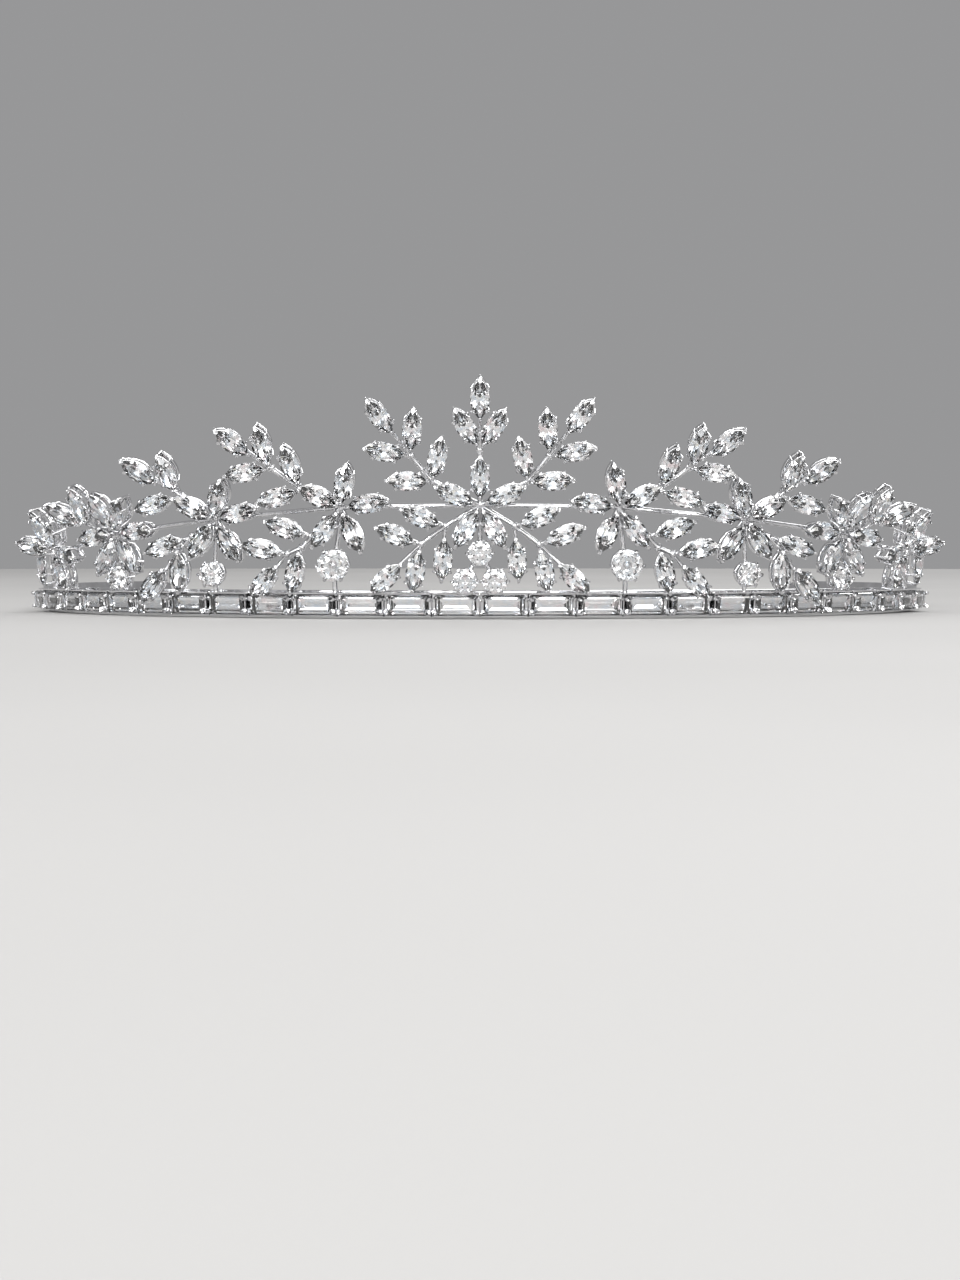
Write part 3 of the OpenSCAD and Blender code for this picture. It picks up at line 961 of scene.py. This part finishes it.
# %% Set the rail on the band
half_count = baguette_count / 2
cells = [(i - half_count + 0.5) * rail_pitch for i in range(baguette_count)]
joints = [(i - half_count) * rail_pitch for i in range(baguette_count + 1)]
rail_copies = [set_on(rail_cell, on_band(along)) for along in cells]
rail_copies += [set_on(rail_joint, on_band(along)) for along in joints]
finished(fuse("rail", rail_copies), "frame")

# %% [markdown]
# ## The metal of the sprays
# One piece of metal for each spray: its hub, stems, the wire of every basket, the baskets, the
# posts that stand on the rail under the round stones, and the link to the spray before it. The
# same tables that place the stones place their metal, so both always fit.

# %% Set the metal of one spray


def branch_metal(hub, number, part):
    copies = []
    for leaf in part.leaves:
        stone = hub @ leaf_place(part.joints, leaf, part.side)
        wire_start = Vector((0, -leaf.reach * leaf_l, -girdle_rise))
        wire_end = Vector((0, -leaf_l / 2 + ring_in / 2, -girdle_rise))
        copies.append(set_on(pointed_basket, stone))
        copies.append(set_on(thin_wire, stone @ wire_place(wire_start, wire_end)))
    for joint in part.joints[1:]:
        start = joint_place(part.joints[joint.parent], part.side).translation
        end = joint_place(joint, part.side).translation
        copies.append(set_on(stem_wire, hub @ wire_place(start, end)))
        copies.append(set_on(solder, hub @ Matrix.Translation(end)))
    for stone in part.rounds:
        joint = part.joints[stone.joint]
        foot = hub @ joint_place(joint, part.side)
        copies.append(set_on(round_baskets[stone.size], foot @ moved(0, 0, girdle_rise)))
        if stone.post:
            drop = (joint.y + PLACES[number].rise) * leaf_l + rail_bar
            copies.append(set_on(stem_wire, foot @ wire_place(Vector(), Vector((0, -drop, 0)))))
    return copies


def spray_metal(side_name, number):
    hub = hub_place(side_name, number)
    copies = [set_on(solder, hub)]
    for part in SPRAYS[(side_name, number)]:
        copies += branch_metal(hub, number, part)
    if number:
        before = hub_place(side_name, number - 1).translation
        copies.append(set_on(stem_wire, wire_place(before, hub.translation)))
    return fuse(f"metal_{side_name}_{number}" if number else "metal_middle", copies)


for side_name, number in SPRAYS:
    finished(spray_metal(side_name, number), "frame")

# %% [markdown]
# ## Set the stones
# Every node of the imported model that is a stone, or the stones of one spray, gets its cut stones
# in the same place. The tables face outwards.

# %% Pointed stones of each spray
for (side_name, number), parts in SPRAYS.items():
    hub = hub_place(side_name, number)
    stones = [set_on(marquise, hub @ leaf_place(part.joints, leaf, part.side))
              for part in parts for leaf in part.leaves]
    node = f"marquises_{side_name}_{number}" if number else "marquises_middle"
    finished(fuse(f"cut_{node}", stones), node)

# %% Round stones
for (side_name, number), parts in SPRAYS.items():
    hub = hub_place(side_name, number)
    rounds = [(part, stone) for part in parts for stone in part.rounds]
    for i, (part, stone) in enumerate(rounds, start=1):
        place = hub @ joint_place(part.joints[stone.joint], part.side) @ moved(0, 0, girdle_rise)
        node = f"round_{side_name}_{number or i}"
        copy = set_on(round_stones[stone.size], place)
        finished(fuse(f"cut_{node}", [copy]), node)

# %% Rectangular stones along the rail
for i, along in enumerate(cells, start=1):
    place = on_band(along) @ moved(0, rail_mid, rail_front + baguette_seat)
    node = f"baguette_{i}"
    finished(fuse(f"cut_{node}", [set_on(baguette, place)]), node)

# %% [markdown]
# ## Clear the bench
# The models were only patterns for the copies, so they go.

# %% Remove the models
clear_bench()
for model in models:
    bpy.data.objects.remove(model)

# %% [markdown]
# ## Studio
# The diadem stands on the lower edge of its band, on a wide pale floor in a plain grey room. Cut
# stones only sparkle when they have bright lights and some darker room to throw back, and one
# big light would wash out the flat tables. So the room is greyer behind and paler in front and
# above, a broad dim soft box stands in front, one hangs overhead and one behind, and eight
# panels and eight small lamps for the glints are spread round the front.

# %% Floor
floor_r, floor_edge, floor_t, floor_gap = 0.9, 0.02, 0.03, 0.0002
FLOOR_PAINT = ((0.3, (0.38, 0.375, 0.37)), (0.7, (0.43, 0.425, 0.42)))


def make_floor():
    clear_bench()
    bpy.ops.mesh.primitive_circle_add(
        vertices=96, radius=floor_r, fill_type="NGON", location=(0, 0, -floor_gap))
    open_mesh()
    bpy.ops.mesh.inset(thickness=floor_edge)
    pick("EDGE", lambda at, run: at.length > floor_r - floor_edge / 2)
    bpy.ops.mesh.extrude_region_move(TRANSFORM_OT_translate={"value": (0, 0, -floor_t)})
    bpy.ops.object.mode_set(mode="OBJECT")
    floor = bpy.context.object
    floor.name = "floor"
    bpy.ops.object.shade_smooth_by_angle(angle=math.radians(60))
    finish, tree, shader, place = new_finish("floor_paint")
    cloud = noise(tree, place, scale=3, detail=3)
    tree.links.new(tones(tree, cloud, *FLOOR_PAINT), shader.inputs["Base Color"])
    shader.inputs["Roughness"].default_value = 0.8
    shader.inputs["Specular IOR Level"].default_value = 0.15
    floor.data.materials.append(finish)


make_floor()
print("floor ready")

# %% Room
FRONT_AND_UP = (0, -0.8, 0.6)


def grey_room(behind, in_front):
    """A room whose grey runs from one tone behind the diadem to another in front and above."""
    world = bpy.data.worlds.new("room")
    bpy.context.scene.world = world
    world.use_nodes = True
    tree = world.node_tree
    way = tree.nodes.new("ShaderNodeTexCoord").outputs["Generated"]
    towards = tree.nodes.new("ShaderNodeVectorMath")
    towards.operation = "DOT_PRODUCT"
    tree.links.new(way, towards.inputs[0])
    towards.inputs[1].default_value = FRONT_AND_UP
    grey = tones(tree, towards.outputs["Value"], (0.0, behind), (0.8, in_front))
    tree.links.new(grey, tree.nodes["Background"].inputs["Color"])


grey_room(behind=(0.31, 0.31, 0.315), in_front=(0.58, 0.58, 0.585))
bpy.context.scene.view_settings.view_transform = "Standard"
print("room ready")

# %% Lights
AIM = Vector((0, -0.06, 0.015))
COOL, WARM = (0.96, 0.98, 1), (1, 0.985, 0.96)
PANELS = ((-70, 22), (-48, 48), (-34, 16), (-12, 34), (12, 14), (24, 52), (40, 26), (66, 40))
GLINTS = ((-0.3, -1.1, 0.30), (0.28, -1.0, 0.52), (0.05, -1.2, 0.16), (-0.55, -0.9, 0.12),
          (0.6, -0.9, 0.7), (-0.15, -0.8, 0.8), (0.75, -0.7, 0.15), (-0.9, -0.4, 0.35))
panel_far = 1.2


def soft_box(name, place, size, watts, warmth=WHITE):
    """An area lamp that faces the diadem."""
    lamp = bpy.data.lights.new(name, "AREA")
    lamp.shape = "RECTANGLE"
    lamp.size, lamp.size_y = size
    lamp.energy = watts
    lamp.color = warmth
    light = bpy.data.objects.new(name, lamp)
    light.location = place
    light.rotation_euler = (AIM - Vector(place)).to_track_quat("-Z", "Y").to_euler()
    bpy.context.collection.objects.link(light)


soft_box("overhead", (0, -0.3, 1.1), size=(0.9, 0.6), watts=4.5)
soft_box("front", (0, -1.4, 0.26), size=(1.5, 0.46), watts=2.2)
soft_box("behind", (0.4, 1.1, 0.8), size=(0.6, 0.4), watts=5)
for i, (azimuth, height) in enumerate(PANELS):
    place = turned(azimuth, "Z") @ turned(-height, "X") @ Vector((0, -panel_far, 0))
    soft_box(f"panel_{i}", place, size=(0.36, 0.30), watts=1.5, warmth=WARM if i % 2 else COOL)
for i, place in enumerate(GLINTS):
    soft_box(f"glint_{i}", place, size=(0.05, 0.05), watts=1)

# %% [markdown]
# ## Camera
# The photograph looks straight at the middle of the diadem, with the object a little above the
# middle of the picture. It looks up from below; a diadem that stands on a floor can't be seen like
# that, so the camera goes as low as the floor allows. One picture can't tell a near camera with a
# wide lens from a far one with a long lens, so the distance, about a third of a metre, and the
# lens that goes with it are a middle choice.

# %% Camera
SENSOR_MM, PICTURE_PX, FOCAL_PX = 36, 1280, 2400
camera_back, camera_up, look_down_deg = 0.345, 0.010, 2.15
band_front = -0.079

camera = bpy.data.objects.new("camera", bpy.data.cameras.new("camera"))
camera.data.lens = FOCAL_PX * SENSOR_MM / PICTURE_PX
camera.data.clip_start = 0.01
camera.location = (0, band_front - camera_back, camera_up)
camera.rotation_euler = (math.radians(90 - look_down_deg), 0, 0)
bpy.context.collection.objects.link(camera)
bpy.context.scene.camera = camera
print("camera at", [round(v, 3) for v in camera.location])
